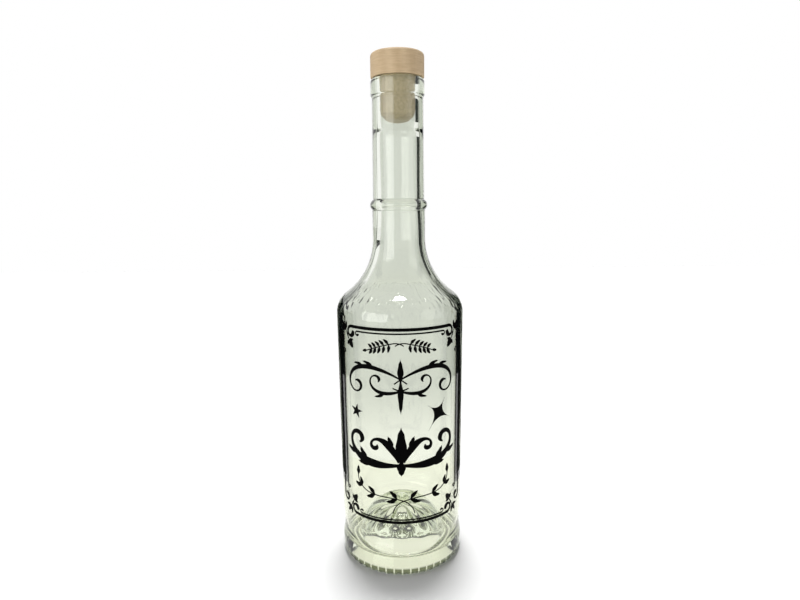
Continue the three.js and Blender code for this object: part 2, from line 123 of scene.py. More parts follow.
FLARE_CENTRE = LOWER_NECK_RADIUS + FLARE_ROUND
SHOULDER_CENTRE = BODY_RADIUS - SHOULDER_ROUND
FLARE_RISE = math.sqrt((SHOULDER_ROUND + FLARE_ROUND) ** 2 - (FLARE_CENTRE - SHOULDER_CENTRE) ** 2)
FLARE_TOP = BODY_TOP + FLARE_RISE
FLARE_ANGLE = math.atan2(FLARE_RISE, FLARE_CENTRE - SHOULDER_CENTRE)
BEAD_HEIGHT = LIP_TOP - BEAD_BELOW_LIP

# Camera, fitted to the photograph: the bottle's axis stands in the middle of the frame.
IMAGE_WIDTH = 800
FOCAL_PIXELS = 545
SENSOR_WIDTH = 36
PRINCIPAL_DROP = 32  # pixels from the frame's middle down to the optical axis
CAMERA_PLACE = (0.0, -0.304, 0.2054)
CAMERA_PITCH = -13.1
CAMERA_ROLL = -0.6
CLIP_START = 0.01


def camera():
    data = bpy.data.cameras.new("camera")
    data.sensor_width = SENSOR_WIDTH
    data.lens = SENSOR_WIDTH * FOCAL_PIXELS / IMAGE_WIDTH
    data.shift_y = PRINCIPAL_DROP / IMAGE_WIDTH
    data.clip_start = CLIP_START
    obj = bpy.data.objects.new("camera", data)
    look = Matrix.Rotation(math.radians(90 + CAMERA_PITCH), 4, "X")
    roll = Matrix.Rotation(math.radians(CAMERA_ROLL), 4, "Z")
    obj.matrix_world = Matrix.Translation(CAMERA_PLACE) @ look @ roll
    bpy.context.collection.objects.link(obj)
    bpy.context.scene.camera = obj


def arc(centre_r, centre_z, radius, start, end, steps):
    angles = [start + (end - start) * i / steps for i in range(steps + 1)]
    return [(centre_r + radius * math.cos(a), centre_z + radius * math.sin(a)) for a in angles]


def bend(start, control, end, steps):
    """Quadratic curve, without its first point."""
    corners = (start, control, end)
    points = []
    for i in range(1, steps + 1):
        t = i / steps
        weights = ((1 - t) ** 2, 2 * t * (1 - t), t**2)
        points.append(tuple(sum(w * p[k] for w, p in zip(weights, corners)) for k in (0, 1)))
    return points


def line(start, end, steps):
    """Straight run, without its first point."""
    return [
        (start[0] + (end[0] - start[0]) * i / steps, start[1] + (end[1] - start[1]) * i / steps)
        for i in range(1, steps + 1)
    ]


def new_object(name, verts, faces, material, smooth=True):
    mesh = bpy.data.meshes.new(name)
    mesh.from_pydata(verts, [], faces)
    mesh.polygons.foreach_set("use_smooth", [smooth] * len(mesh.polygons))
    mesh.materials.append(material)
    mesh.update()
    obj = bpy.data.objects.new(name, mesh)
    bpy.context.collection.objects.link(obj)
    return obj


def turned(name, profile, segments, material, place):
    """Solid turned about Z. The profile starts and ends on the axis, and place moves each point."""
    rings = profile[1:-1]
    verts = []
    for index, (r, z) in enumerate(rings):
        for i in range(segments):
            angle = 2 * math.pi * i / segments
            rr, zz = place(index, r, z, angle)
            verts.append((rr * math.cos(angle), rr * math.sin(angle), zz))
    first = len(verts)
    verts.append((0, 0, profile[0][1]))
    verts.append((0, 0, profile[-1][1]))
    faces = []
    for k in range(len(rings) - 1):
        for i in range(segments):
            j = (i + 1) % segments
            low, high = k * segments, (k + 1) * segments
            faces.append((low + i, low + j, high + j, high + i))
    top = (len(rings) - 1) * segments
    for i in range(segments):
        j = (i + 1) % segments
        faces.append((first, j, i))
        faces.append((first + 1, top + i, top + j))
    return new_object(name, verts, faces, material)


# Materials

GLASS_CLEAR = (0.985, 0.99, 0.983)
GLASS_HEEL_PAINTED_SHADE = (0.05, 0.06, 0.028)  # painted shade: the heel's pressed corner darkened where it shows the shadow under the bottle
GLASS_IOR = 1.5
GLASS_DEPTH = (0.7, 0.78, 0.5)  # green that grows with the glass's thickness
GLASS_DENSITY = 26.0
# Radii and heights over which the heel's painted shade goes from none to full.
HEEL_PAINTED_SHADE_REACH = (HEEL_RADIUS - HEEL_FILLET, HEEL_RADIUS - HEEL_FILLET / 2)
HEEL_PAINTED_SHADE_RISE = (HEEL_FILLET * 1.35, HEEL_FILLET * 1.1)
GROOVE_PAINTED_SHADE_FADE = (0.98, 0.8)  # cosine round one ridge, from its untinted crest, which shows bright, into the groove's painted shade
# Colours of the painted shade along the glass's edges: none and full.
CLEAR, PAINTED_EDGE_DARK = (1, 1, 1), (0.05, 0.06, 0.05)
GLASS_PAINTED_EDGE_SHADE = [(0.5, CLEAR), (0.62, PAINTED_EDGE_DARK), (0.75, PAINTED_EDGE_DARK), (0.82, CLEAR)]  # painted shade: a dark line just inside each edge, set by how the surface faces
EDGE_SHADE_BLEND = 0.5
WOOD_TONES = [(0.25, (0.5, 0.36, 0.21)), (0.6, (0.63, 0.475, 0.29)), (0.85, (0.68, 0.53, 0.345))]
WOOD_RING_TONES = [(0.0, (0.86, 0.83, 0.79)), (1.0, (1.0, 1.0, 1.0))]
WOOD_RING_SHARE = 0.7
WOOD_FIBRE = {"in_Scale": 170.0, "in_Detail": 8.0, "in_Roughness": 0.62}
WOOD_FIBRE_STRETCH = (1.0, 1.0, 14.0)
WOOD_FIBRE_TURN = (math.radians(90), 0.15, 0.3)
WOOD_RINGS = {"in_Scale": 42.0, "in_Distortion": 3.5, "in_Detail": 3.0}
WOOD_ROUGHNESS = 0.62
WOOD_BUMP = (0.35, 0.0003)  # strength and distance, as in each bump below
SYNTHETIC_SPECK = {"in_Scale": 900.0, "in_Detail": 5.0}
SYNTHETIC_TONES = [(0.35, (0.38, 0.3, 0.155)), (0.65, (0.5, 0.4, 0.225))]
SYNTHETIC_ROUGHNESS = 0.5
SYNTHETIC_BUMP = (0.25, 0.0002)
FILM_SPECK = {"in_Scale": 700.0, "in_Detail": 3.0}
FILM_TONES = [(0.3, (0.0005, 0.0005, 0.0005)), (0.7, (0.0015, 0.0015, 0.0015))]
FILM_ROUGHNESS = 0.42
FILM_SPECULAR = 0.02
FILM_BUMP = (0.12, 0.0001)


class Shader:
    """A material's node tree, with its Principled shader."""

    def __init__(self, name):
        self.material = bpy.data.materials.new(name)
        self.material.use_nodes = True
        self.tree = self.material.node_tree
        self.principled = self.tree.nodes["Principled BSDF"]

    def node(self, kind, **settings):
        """A new node. A setting that starts with in_ sets the input of that name."""
        made = self.tree.nodes.new(kind)
        for key, value in settings.items():
            if key.startswith("in_"):
                made.inputs[key[3:].replace("_", " ")].default_value = value
            else:
                setattr(made, key, value)
        return made

    def link(self, source, target):
        self.tree.links.new(source, target)

    def feed(self, value, socket):
        """Links another node's output to the socket, or sets the socket to a plain value."""
        if isinstance(value, bpy.types.NodeSocket):
            self.link(value, socket)
        else:
            socket.default_value = value

    def give(self, name, value):
        """Feeds one input of the Principled shader."""
        self.feed(value, self.principled.inputs[name])

    def show(self, shown, part="Surface"):
        self.link(shown, self.tree.nodes["Material Output"].inputs[part])

    def place(self):
        return self.node("ShaderNodeTexCoord").outputs["Object"]

    def maths(self, operation, *values):
        made = self.node("ShaderNodeMath", operation=operation)
        for value, socket in zip(values, made.inputs):
            self.feed(value, socket)
        return made.outputs["Value"]

    def eased(self, value, fade):
        """0 up to the first value of the fade and 1 from its second, smooth between them."""
        made = self.node("ShaderNodeMapRange", interpolation_type="SMOOTHSTEP")
        made.inputs["From Min"].default_value = fade[0]
        made.inputs["From Max"].default_value = fade[1]
        self.link(value, made.inputs["Value"])
        return made.outputs["Result"]

    def ramp(self, source, stops):
        made = self.node("ShaderNodeValToRGB")
        elements = made.color_ramp.elements
        while len(elements) < len(stops):
            elements.new(0.5)
        for element, (position, colour) in zip(elements, stops):
            element.position = position
            element.color = (*colour, 1)
        self.link(source, made.inputs["Fac"])
        return made.outputs["Color"]

    def multiplied(self, colour, other, share):
        """A colour, multiplied by another to the given share."""
        made = self.node("ShaderNodeMix", data_type="RGBA", blend_type="MULTIPLY")
        self.feed(share, made.inputs["Factor"])
        self.link(colour, made.inputs["A"])
        self.link(other, made.inputs["B"])
        return made.outputs["Result"]

    def glow(self, colour):
        made = self.node("ShaderNodeEmission")
        self.feed(colour, made.inputs["Color"])
        return made.outputs["Emission"]

    def blend(self, share, first, second):
        """The first shader, and the second to the given share."""
        made = self.node("ShaderNodeMixShader")
        self.link(share, made.inputs["Fac"])
        self.link(first, made.inputs[1])
        self.link(second, made.inputs[2])
        return made.outputs["Shader"]

    def bump(self, height, strength, distance):
        made = self.node("ShaderNodeBump", in_Strength=strength, in_Distance=distance)
        self.link(height, made.inputs["Height"])
        self.give("Normal", made.outputs["Normal"])


def glass_tint_and_painted_heel_shade(shader):
    """Clear, but with painted shade between the ridges of the heel's pressed corner, where the glass
    shows the shadow under the bottle.
    """
    place = shader.place()
    split = shader.node("ShaderNodeSeparateXYZ")
    shader.link(place, split.inputs["Vector"])
    flat = shader.node("ShaderNodeVectorMath", operation="MULTIPLY")
    flat.inputs[1].default_value = (1, 1, 0)
    shader.link(place, flat.inputs[0])
    radius = shader.node("ShaderNodeVectorMath", operation="LENGTH")
    shader.link(flat.outputs["Vector"], radius.inputs[0])
    outward = shader.eased(radius.outputs["Value"], HEEL_PAINTED_SHADE_REACH)
    low = shader.eased(split.outputs["Z"], HEEL_PAINTED_SHADE_RISE)
    heel = shader.maths("MULTIPLY", outward, low)
    angle = shader.maths("ARCTAN2", split.outputs["Y"], split.outputs["X"])
    ridge = shader.maths("COSINE", shader.maths("MULTIPLY", angle, KNURL_COUNT))
    painted_groove_shade = shader.maths("MULTIPLY", heel, shader.eased(ridge, GROOVE_PAINTED_SHADE_FADE))
    return shader.ramp(painted_groove_shade, [(0, GLASS_CLEAR), (1, GLASS_HEEL_PAINTED_SHADE)])


def glass_material():
    shader = Shader("clear_glass")
    shader.give("Roughness", 0.0)
    shader.give("IOR", GLASS_IOR)
    shader.give("Transmission Weight", 1.0)
    # Painted shade: the base colour darkens in a line just inside each edge of the body, by how the
    # surface faces.
    facing = shader.node("ShaderNodeLayerWeight", in_Blend=EDGE_SHADE_BLEND).outputs["Facing"]
    edge_shade_share = shader.node("ShaderNodeAttribute", attribute_name=EDGE_SHADE_ATTRIBUTE).outputs["Fac"]
    colour = shader.multiplied(glass_tint_and_painted_heel_shade(shader), shader.ramp(facing, GLASS_PAINTED_EDGE_SHADE), edge_shade_share)
    shader.give("Base Color", colour)
    volume = shader.node("ShaderNodeVolumeAbsorption")
    volume.inputs["Color"].default_value = (*GLASS_DEPTH, 1)
    volume.inputs["Density"].default_value = GLASS_DENSITY
    shader.show(volume.outputs["Volume"], "Volume")
    return shader.material


def wood_material():
    shader = Shader("pale_wood")
    place = shader.place()
    grain_place = shader.node("ShaderNodeMapping")
    grain_place.inputs["Scale"].default_value = WOOD_FIBRE_STRETCH
    grain_place.inputs["Rotation"].default_value = WOOD_FIBRE_TURN
    shader.link(place, grain_place.inputs["Vector"])
    fibre = shader.node("ShaderNodeTexNoise", **WOOD_FIBRE)
    shader.link(grain_place.outputs["Vector"], fibre.inputs["Vector"])
    rings = shader.node("ShaderNodeTexWave", wave_type="BANDS", bands_direction="X", **WOOD_RINGS)
    shader.link(place, rings.inputs["Vector"])
    tone = shader.ramp(fibre.outputs["Fac"], WOOD_TONES)
    ring_tone = shader.ramp(rings.outputs["Fac"], WOOD_RING_TONES)
    shader.give("Base Color", shader.multiplied(tone, ring_tone, WOOD_RING_SHARE))
    shader.give("Roughness", WOOD_ROUGHNESS)
    shader.bump(fibre.outputs["Fac"], *WOOD_BUMP)
    return shader.material


def speckled(name, speck, tones, roughness, bump):
    """A plain stuff whose fine speckle shows in its colour and its surface."""
    shader = Shader(name)
    noise_node = shader.node("ShaderNodeTexNoise", **speck)
    shader.link(shader.place(), noise_node.inputs["Vector"])
    shader.give("Base Color", shader.ramp(noise_node.outputs["Fac"], tones))
    shader.give("Roughness", roughness)
    shader.bump(noise_node.outputs["Fac"], *bump)
    return shader


def synthetic_material():
    shader = speckled(
        "beige_synthetic", SYNTHETIC_SPECK, SYNTHETIC_TONES, SYNTHETIC_ROUGHNESS, SYNTHETIC_BUMP
    )
    return shader.material


def film_material():
    shader = speckled("black_film", FILM_SPECK, FILM_TONES, FILM_ROUGHNESS, FILM_BUMP)
    shader.give("Specular IOR Level", FILM_SPECULAR)
    return shader.material


# Glass


def punt_underside():
    top = PUNT_HEIGHT - PUNT_THICKNESS
    inner = HEEL_RADIUS - HEEL_FILLET - BEARING_WIDTH
    return [(0, top)] + bend((0, top), (inner * PUNT_FULLNESS, top), (inner, 0), 20)


def knurled_heel():
    centre = HEEL_RADIUS - HEEL_FILLET
    return arc(centre, HEEL_FILLET, HEEL_FILLET, -math.pi / 2, 0, 14)


def outside_profile():
    bead_centre = BEAD_RADIUS - BEAD_ROUND
    bead_start = -math.acos((LOWER_NECK_RADIUS - bead_centre) / BEAD_ROUND)
    bead_end = math.acos((MID_NECK_RADIUS - bead_centre) / BEAD_ROUND)
    band_bottom = LIP_TOP - LIP_BAND
    waist_height = (HEEL_BAND_TOP + PANEL_BOTTOM) / 2
    waist = (BODY_RADIUS - WAIST_DEPTH, waist_height)
    band_end = (HEEL_RADIUS, HEEL_BAND_TOP)
    panel_start = (BODY_RADIUS, PANEL_BOTTOM)
    neck_start = (TOP_NECK_RADIUS, band_bottom - LIP_BLEND)
    blend_height = band_bottom - LIP_BLEND / 3
    blend_middle = ((TOP_NECK_RADIUS + LIP_RADIUS) / 2, blend_height)
    lip_start = (LIP_RADIUS, band_bottom + LIP_BLEND / 3)
    bead = arc(bead_centre, BEAD_HEIGHT, BEAD_ROUND, bead_start, bead_end, 18)
    below_bead = (bead[0][0], bead[0][1] - BEAD_ROOT)
    above_bead = (bead[-1][0], bead[-1][1] + BEAD_ROOT)
    flare = arc(FLARE_CENTRE, FLARE_TOP, FLARE_ROUND, FLARE_ANGLE + math.pi, math.pi, 20)
    return [
        *line((HEEL_RADIUS, HEEL_FILLET), band_end, 2),
        *bend(band_end, (waist[0], (HEEL_BAND_TOP + waist_height) / 2), waist, 8),
        *bend(waist, (waist[0], (waist_height + PANEL_BOTTOM) / 2), panel_start, 8),
        *line(panel_start, (BODY_RADIUS, BODY_TOP), 3),
        *arc(SHOULDER_CENTRE, BODY_TOP, SHOULDER_ROUND, 0, FLARE_ANGLE, 14)[1:],
        *flare[1:],
        *line(flare[-1], below_bead, 4),
        *bead,
        above_bead,
        *line(above_bead, neck_start, 8),
        *bend(neck_start, (TOP_NECK_RADIUS, blend_height), blend_middle, 5),
        *bend(blend_middle, (LIP_RADIUS, blend_height), lip_start, 5),
        *line(lip_start, (LIP_RADIUS, LIP_TOP - LIP_FILLET), 3)[:-1],
        *arc(LIP_RADIUS - LIP_FILLET, LIP_TOP - LIP_FILLET, LIP_FILLET, 0, math.pi / 2, 8),
    ]


def inside_profile():
    bore_bottom = LIP_TOP - BORE_LENGTH
    inside = BODY_RADIUS - WALL
    foot = inside - INNER_HEEL_FILLET
    flare = arc(FLARE_CENTRE, FLARE_TOP, FLARE_ROUND + WALL, math.pi, math.pi + FLARE_ANGLE, 20)
    shoulder = arc(SHOULDER_CENTRE, BODY_TOP, SHOULDER_ROUND - WALL, FLARE_ANGLE, 0, 16)
    heel = arc(foot, FLOOR_HEIGHT + INNER_HEEL_FILLET, INNER_HEEL_FILLET, 0, -math.pi / 2, 8)
    neck_top = (NECK_INSIDE, bore_bottom - BORE_STEP)
    bead_side = (NECK_INSIDE, BEAD_HEIGHT)
    edge = BUTTON_HEIGHT / 4
    punt_bend = ((PUNT_SHOULDER[0] + PUNT_TOP_RADIUS) / 2, PUNT_HEIGHT)
    punt_top = (PUNT_TOP_RADIUS, PUNT_HEIGHT)
    button_foot = (BUTTON_RADIUS + edge, PUNT_HEIGHT)
    button_side = (BUTTON_RADIUS, PUNT_HEIGHT + edge)
    button_top = PUNT_HEIGHT + BUTTON_HEIGHT
    return [
        *arc(BORE_RADIUS + BORE_FILLET, LIP_TOP - BORE_FILLET, BORE_FILLET, math.pi / 2, math.pi, 6),
        *line((BORE_RADIUS, LIP_TOP - BORE_FILLET), (BORE_RADIUS, bore_bottom), 6),
        *line((BORE_RADIUS, bore_bottom), neck_top, 4),
        *line(neck_top, bead_side, 8),
        *bend(bead_side, (NECK_INSIDE, BEAD_HEIGHT - BEAD_ROUND), flare[0], 10),
        *flare[1:],
        *shoulder[1:],
        *line(shoulder[-1], heel[0], 18),
        *heel[1:],
        *bend((foot, FLOOR_HEIGHT), (PUNT_SHOULDER[0] + WALL, FLOOR_HEIGHT), PUNT_SHOULDER, 12),
        *bend(PUNT_SHOULDER, punt_bend, punt_top, 10),
        *line(punt_top, button_foot, 3),
        *bend(button_foot, (BUTTON_RADIUS, PUNT_HEIGHT), button_side, 4),
        *bend(button_side, (BUTTON_RADIUS, button_top), (BUTTON_RADIUS - edge, button_top), 5),
        (0, button_top),
    ]


def fluted(z, angle, share):
    """Height on the punt's underside, at a share of the way down from its top."""
    strength = math.sin(math.pi * share**FLUTE_LEAN) ** 3
    return z + FLUTE_DEPTH * strength * math.cos(FLUTE_COUNT * angle)


def knurled(r, angle, share):
    """Radius on the heel's corner, at a share of the way round it."""
    groove = 0.5 - 0.5 * math.cos(KNURL_COUNT * angle)
    return r - KNURL_DEPTH * math.sin(math.pi * share) * groove


def seamed(r, angle):
    """Radius on the outside, with the mould's seam on both sides."""
    from_seam = r * abs(math.sin(angle))
    return r + SEAM_HEIGHT * math.exp(-((from_seam / (SEAM_WIDTH / 2)) ** 2))


def uneven(r, z, angle):
    """Radius on the inside, with the blown wall's waves and the shoulder's dimples."""
    over_floor = (z - PUNT_HEIGHT) / WAVE_FADE
    under_bore = (LIP_TOP - BORE_LENGTH - BORE_STEP - z) / WAVE_FADE
    fade = max(0, min(1, over_floor, under_bore))
    if fade == 0:
        return r
    here = Vector((math.cos(angle), math.sin(angle), z / BODY_RADIUS))
    from_shoulder = (z - RIPPLE_MIDDLE) / RIPPLE_REACH
    wave = fade * WAVE_DEPTH * noise.noise(here * WAVE_PITCH)
    ripple = RIPPLE_DEPTH * math.exp(-(from_shoulder**2)) * noise.noise(here * RIPPLE_PITCH)
    return r + wave + ripple


def painted_edge_shade_strength(z):
    """How far the outside at this height takes the painted shade of an edge's dark line."""
    return max(0, min(1, (z - EDGE_SHADE_FOOT) / EDGE_SHADE_FADE, (EDGE_SHADE_TOP - z) / EDGE_SHADE_FADE))


def glass_bottle(material):
    underside = punt_underside()
    heel = knurled_heel()
    outside = outside_profile()
    heel_start = len(underside) - 1
    outside_start = heel_start + len(heel)
    inside_start = outside_start + len(outside)

    def place(index, r, z, angle):
        if index < heel_start:
            return r, fluted(z, angle, (index + 1) / heel_start)
        if index < outside_start:
            return knurled(r, angle, (index - heel_start) / (len(heel) - 1)), z
        if index < inside_start:
            return seamed(r, angle), z
        return uneven(r, z, angle), z

    profile = underside + heel + outside + inside_profile()
    obj = turned("clear_glass_bottle", profile, GLASS_SEGMENTS, material, place)
    # Painted shade of the edges' dark line, by height, on the outside only.
    edge_shade_strengths = []
    for index, (_, z) in enumerate(profile[1:-1]):
        strength = painted_edge_shade_strength(z) if outside_start <= index < inside_start else 0
        edge_shade_strengths += [strength] * GLASS_SEGMENTS
    edge_shade_strengths += [0, 0]  # the two points on the axis
    obj.data.attributes.new(EDGE_SHADE_ATTRIBUTE, "FLOAT", "POINT").data.foreach_set("value", edge_shade_strengths)
    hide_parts("glass_bottle")
    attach(obj, "bottle")


# Film. Shapes are drawn flat in millimetres, round and up the glass from the frame's middle,
# each as a sheet: points with faces that index them, and the edge round them.

HEAVY_LINE = 1.7
FINE_LINE = 0.85
TOP_LINE_GAP = 0.9  # clear space between heavy and fine line
BOTTOM_LINE_GAP = 0.35
SIDE_LINE_GAP = 3.5
FRAME_WIDTH = 82.6
FILM_THICKNESS = 0.12 * MM
FILM_CLEARANCE = 0.04 * MM
FINENESS = 4  # steps to each section of a stem or swirl
STEP_EASING = 0.8  # under 1, a stroke's sections get closer towards its end
COLUMNS = 4  # faces across a stroke
FAN_RINGS = 5
LEAF_STEPS = 14
CURL_NECK = 0.75  # width of a line before the knob that ends it, as a share
HEAVY_CURL = {"length": 12, "first": 3.2, "last": 1.4, "knob": 2.4}  # first and last are radii
FINE_CURL = {"length": 4.6, "first": 1.2, "last": 0.75, "knob": 1.3}
CURL_STEPS = 48
TOP_HEAVY_INSET = 12.9
TOP_FINE_INSET = 17.2
SIDE_HEAVY_INSET = 7.4
SIDE_FINE_INSET = 14.2
TOP_LAUREL_SHIFT = -0.4  # the laurels sit a little to one side, as in the photograph
TOP_LAUREL_WIDTH = 0.87  # share of its drawn width
BOTTOM_LAUREL_SHIFT = 1.1
BOTTOM_LAUREL_WIDTH = 0.95
TOP_LAUREL_CROSSING = 0.3  # shares of a stem's length, from its foot
BOTTOM_LAUREL_CROSSING = 0.24
STEM_WIDTH = 0.6
STEM_SECTIONS = 16
SWIRL_SECTIONS = 20
STAR = {"centre": (-26.2, 7.9), "points": 5, "outer": 4.2, "inner": 1.65, "turn": 80}
SPARKLE = {"centre": (21.5, 8.3), "rays": (8, 8.7, 12, 11), "waist": -1, "turn": 58}

FRAME_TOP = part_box("film_line_top")[1][2] / MM - HEAVY_LINE / 2
FRAME_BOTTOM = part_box("film_line_bottom")[0][2] / MM + HEAVY_LINE / 2
FRAME_MIDDLE = (FRAME_TOP + FRAME_BOTTOM) / 2
HALF_WIDTH = FRAME_WIDTH / 2
HALF_HEIGHT = (FRAME_TOP - FRAME_BOTTOM) / 2


def reshaped(sheet, place):
    """The sheet with each point moved by place."""
    points, faces, edge = sheet
    return [place(u, v) for u, v in points], faces, edge


def mirrored(sheet):
    return reshaped(sheet, lambda u, v: (-u, v))


def flipped(sheet):
    return reshaped(sheet, lambda u, v: (u, -v))


def upright(sheet):
    """Turns a top line into a left line."""
    return reshaped(sheet, lambda u, v: (-v, u))


def moved(sheet, du, dv):
    return reshaped(sheet, lambda u, v: (u + du, v + dv))


def mixed(a, b, share):
    return tuple(x + (y - x) * share for x, y in zip(a, b))


def strip(right, left):
    """Sheet between two sides that have the same number of points."""
    points = [mixed(a, b, k / COLUMNS) for a, b in zip(right, left) for k in range(COLUMNS + 1)]
    row = COLUMNS + 1
    rows = len(right)
    faces = [
        (i * row + k, (i + 1) * row + k, (i + 1) * row + k + 1, i * row + k + 1)
        for i in range(rows - 1)
        for k in range(COLUMNS)
    ]
    start_edge = list(range(row - 1, 0, -1))
    end_edge = [(rows - 1) * row + k for k in range(COLUMNS)]
    right_edge = [i * row for i in range(rows - 1)]
    left_edge = [i * row + COLUMNS for i in range(rows - 1, 0, -1)]
    return points, faces, right_edge + end_edge + left_edge + start_edge


def fan(outline, centre):
    """Sheet inside an outline that can be seen whole from its centre."""
    count = len(outline)
    points = [mixed(centre, p, (k + 1) / FAN_RINGS) for k in range(FAN_RINGS) for p in outline]
    faces = []
    for k in range(FAN_RINGS - 1):
        low, high = k * count, (k + 1) * count
        for i in range(count):
            j = (i + 1) % count
            faces.append((low + i, high + i, high + j, low + j))
    faces += [(len(points), i, (i + 1) % count) for i in range(count)]
    edge = [(FAN_RINGS - 1) * count + i for i in range(count)]
    return points + [centre], faces, edge


def taper(stops):
    """Width along a stroke from stops of (share of its length, width), eased between them."""

    def width(share):
        for (start, first), (end, last) in zip(stops, stops[1:]):
            if share <= end:
                eased = 0.5 - 0.5 * math.cos(math.pi * (share - start) / (end - start))
                return first + (last - first) * eased
        return stops[-1][1]

    return width


def pen(start, heading, length, curvature, width, steps):
    """A stroke's path and width. Curvature and width are functions of the share of its length.

    The heading is in degrees, and a positive curvature turns left.
    """
    return {
        "start": start,
        "heading": heading,
        "length": length,
        "curvature": curvature,
        "width": width,
        "steps": steps,
    }


def pen_path(stroke_pen):
    """Sections (u, v, direction, share) that get closer together towards the stroke's end."""
    sections = []
    u, v = stroke_pen["start"]
    angle = math.radians(stroke_pen["heading"])
    steps = stroke_pen["steps"]
    for i in range(steps + 1):
        share, next_share = (i / steps) ** STEP_EASING, ((i + 1) / steps) ** STEP_EASING
        run = (next_share - share) * stroke_pen["length"]
        turn = stroke_pen["curvature"]((share + next_share) / 2) * run
        sections.append((u, v, angle, share))
        u += run * math.cos(angle + turn / 2)
        v += run * math.sin(angle + turn / 2)
        angle += turn
    return sections


def stroke_sides(stroke_pen):
    def side(sign):
        points = []
        for u, v, angle, share in pen_path(stroke_pen):
            half = sign * stroke_pen["width"](share) / 2
            points.append((u - half * math.sin(angle), v + half * math.cos(angle)))
        return points

    return side(-1), side(1)


def stroke(stroke_pen):
    return strip(*stroke_sides(stroke_pen))


LEAF_TAPER = taper([(0, 0.25), (0.42, 1), (0.78, 0.62), (1, 0.04)])
STEM_TAPER = taper([(0, STEM_WIDTH), (1, STEM_WIDTH)])


def leaf(start, heading, length, width, curl=0):
    """A pointed leaf from its foot, which curls to the left by the given degrees."""

    def curvature(share):
        return math.radians(curl) / length

    def leaf_width(share):
        return width * LEAF_TAPER(share)

    return stroke(pen(start, heading, length, curvature, leaf_width, LEAF_STEPS))


def leaf_on(stem, section, turn, length, width, curl=0):
    """A leaf whose foot is on a stem, turned from the stem's direction."""
    u, v, angle, _ = pen_path(stem)[section * FINENESS]
    return leaf((u, v), math.degrees(angle) + turn, length, width, curl)


def swirl(start, heading, length, lead, winding, widths):
    """Pen of a stroke that winds up towards its end. Positive values turn left."""

    def curvature(share):
        return lead + winding * share**3

    return pen(start, heading, length, curvature, taper(widths), SWIRL_SECTIONS * FINENESS)


def laurel_stem(start, heading, length, curvature):
    return pen(start, heading, length, curvature, STEM_TAPER, STEM_SECTIONS * FINENESS)


def curled_line(reach, width, curl):
    """A frame line along the top that curls down and back into a knob at both ends."""
    first, last, knob = curl["first"], curl["last"], curl["knob"]
    neck = width * CURL_NECK
    widths = taper([(0, width), (0.3, neck), (0.55, neck), (0.82, knob), (0.92, knob), (1, knob / 3)])

    def curvature(share):
        return -1 / (first + (last - first) * share)

    def other_end(side):
        return [(-u, v) for u, v in reversed(side)]

    right, left = stroke_sides(pen((reach, 0), 0, curl["length"], curvature, widths, CURL_STEPS))
    middle = [reach * (2 * i / CURL_STEPS - 1) for i in range(1, CURL_STEPS)]
    return strip(
        other_end(right) + [(u, -width / 2) for u in middle] + right,
        other_end(left) + [(u, width / 2) for u in middle] + left,
    )


def frame_lines():
    """The eight lines of the frame, keyed by node name."""

    def step(gap):
        return HEAVY_LINE / 2 + gap + FINE_LINE / 2

    heavy_across = curled_line(HALF_WIDTH - TOP_HEAVY_INSET, HEAVY_LINE, HEAVY_CURL)
    fine_across = curled_line(HALF_WIDTH - TOP_FINE_INSET, FINE_LINE, FINE_CURL)
    heavy_up = upright(curled_line(HALF_HEIGHT - SIDE_HEAVY_INSET, HEAVY_LINE, HEAVY_CURL))
    heavy_left = moved(heavy_up, -HALF_WIDTH, 0)
    fine_up = upright(curled_line(HALF_HEIGHT - SIDE_FINE_INSET, FINE_LINE, FINE_CURL))
    fine_left = moved(fine_up, step(SIDE_LINE_GAP) - HALF_WIDTH, 0)
    return {
        "film_line_top": [moved(heavy_across, 0, HALF_HEIGHT)],
        "film_line_bottom": [moved(flipped(heavy_across), 0, -HALF_HEIGHT)],
        "film_line_left": [heavy_left],
        "film_line_right": [mirrored(heavy_left)],
        "film_fine_line_top": [moved(fine_across, 0, HALF_HEIGHT - step(TOP_LINE_GAP))],
        "film_fine_line_bottom": [moved(flipped(fine_across), 0, step(BOTTOM_LINE_GAP) - HALF_HEIGHT)],
        "film_fine_line_left": [fine_left],
        "film_fine_line_right": [mirrored(fine_left)],
    }


def corner_ornaments():
    """A fan of three buds outside the curls, joined by a stem to a spade inside them."""
    buds = (-8, -2.6)
    spade = (-10.9, -7.6)
    drawn = [
        leaf(buds, 96, 4.9, 2, 8),
        leaf(buds, 52, 5.8, 2.4),
        leaf(buds, 10, 5.3, 1.9, -8),
        leaf(buds, 240, 6.4, 1),
        leaf(spade, 234, 5, 3.4),
        leaf(spade, 178, 3.2, 2, -25),
        leaf(spade, 290, 3.2, 2, 25),
    ]
    top_right = [moved(shape, HALF_WIDTH, HALF_HEIGHT) for shape in drawn]
    return {
        "film_corner_top_right": top_right,
        "film_corner_top_left": [mirrored(shape) for shape in top_right],
        "film_corner_bottom_right": [flipped(shape) for shape in top_right],
        "film_corner_bottom_left": [mirrored(flipped(shape)) for shape in top_right],
    }


def top_laurel():
    """Two stems that cross in the middle, with leaves in pairs. One half."""

    def curvature(share):
        return -0.105 if share < TOP_LAUREL_CROSSING else -0.01

    stem = laurel_stem((-2.6, 45.9), 32, 23.5, curvature)
    shapes = [stroke(stem), leaf_on(stem, STEM_SECTIONS, 10, 3.4, 1.7)]
    for i in range(5):
        section = 5 + 2 * i
        shapes.append(leaf_on(stem, section, 62 + 2 * i, 4.5 - 0.2 * i, 1.75, -26))
        shapes.append(leaf_on(stem, section, -86 + 9 * i, 4.6 - 0.2 * i, 2, 30))
    return shapes


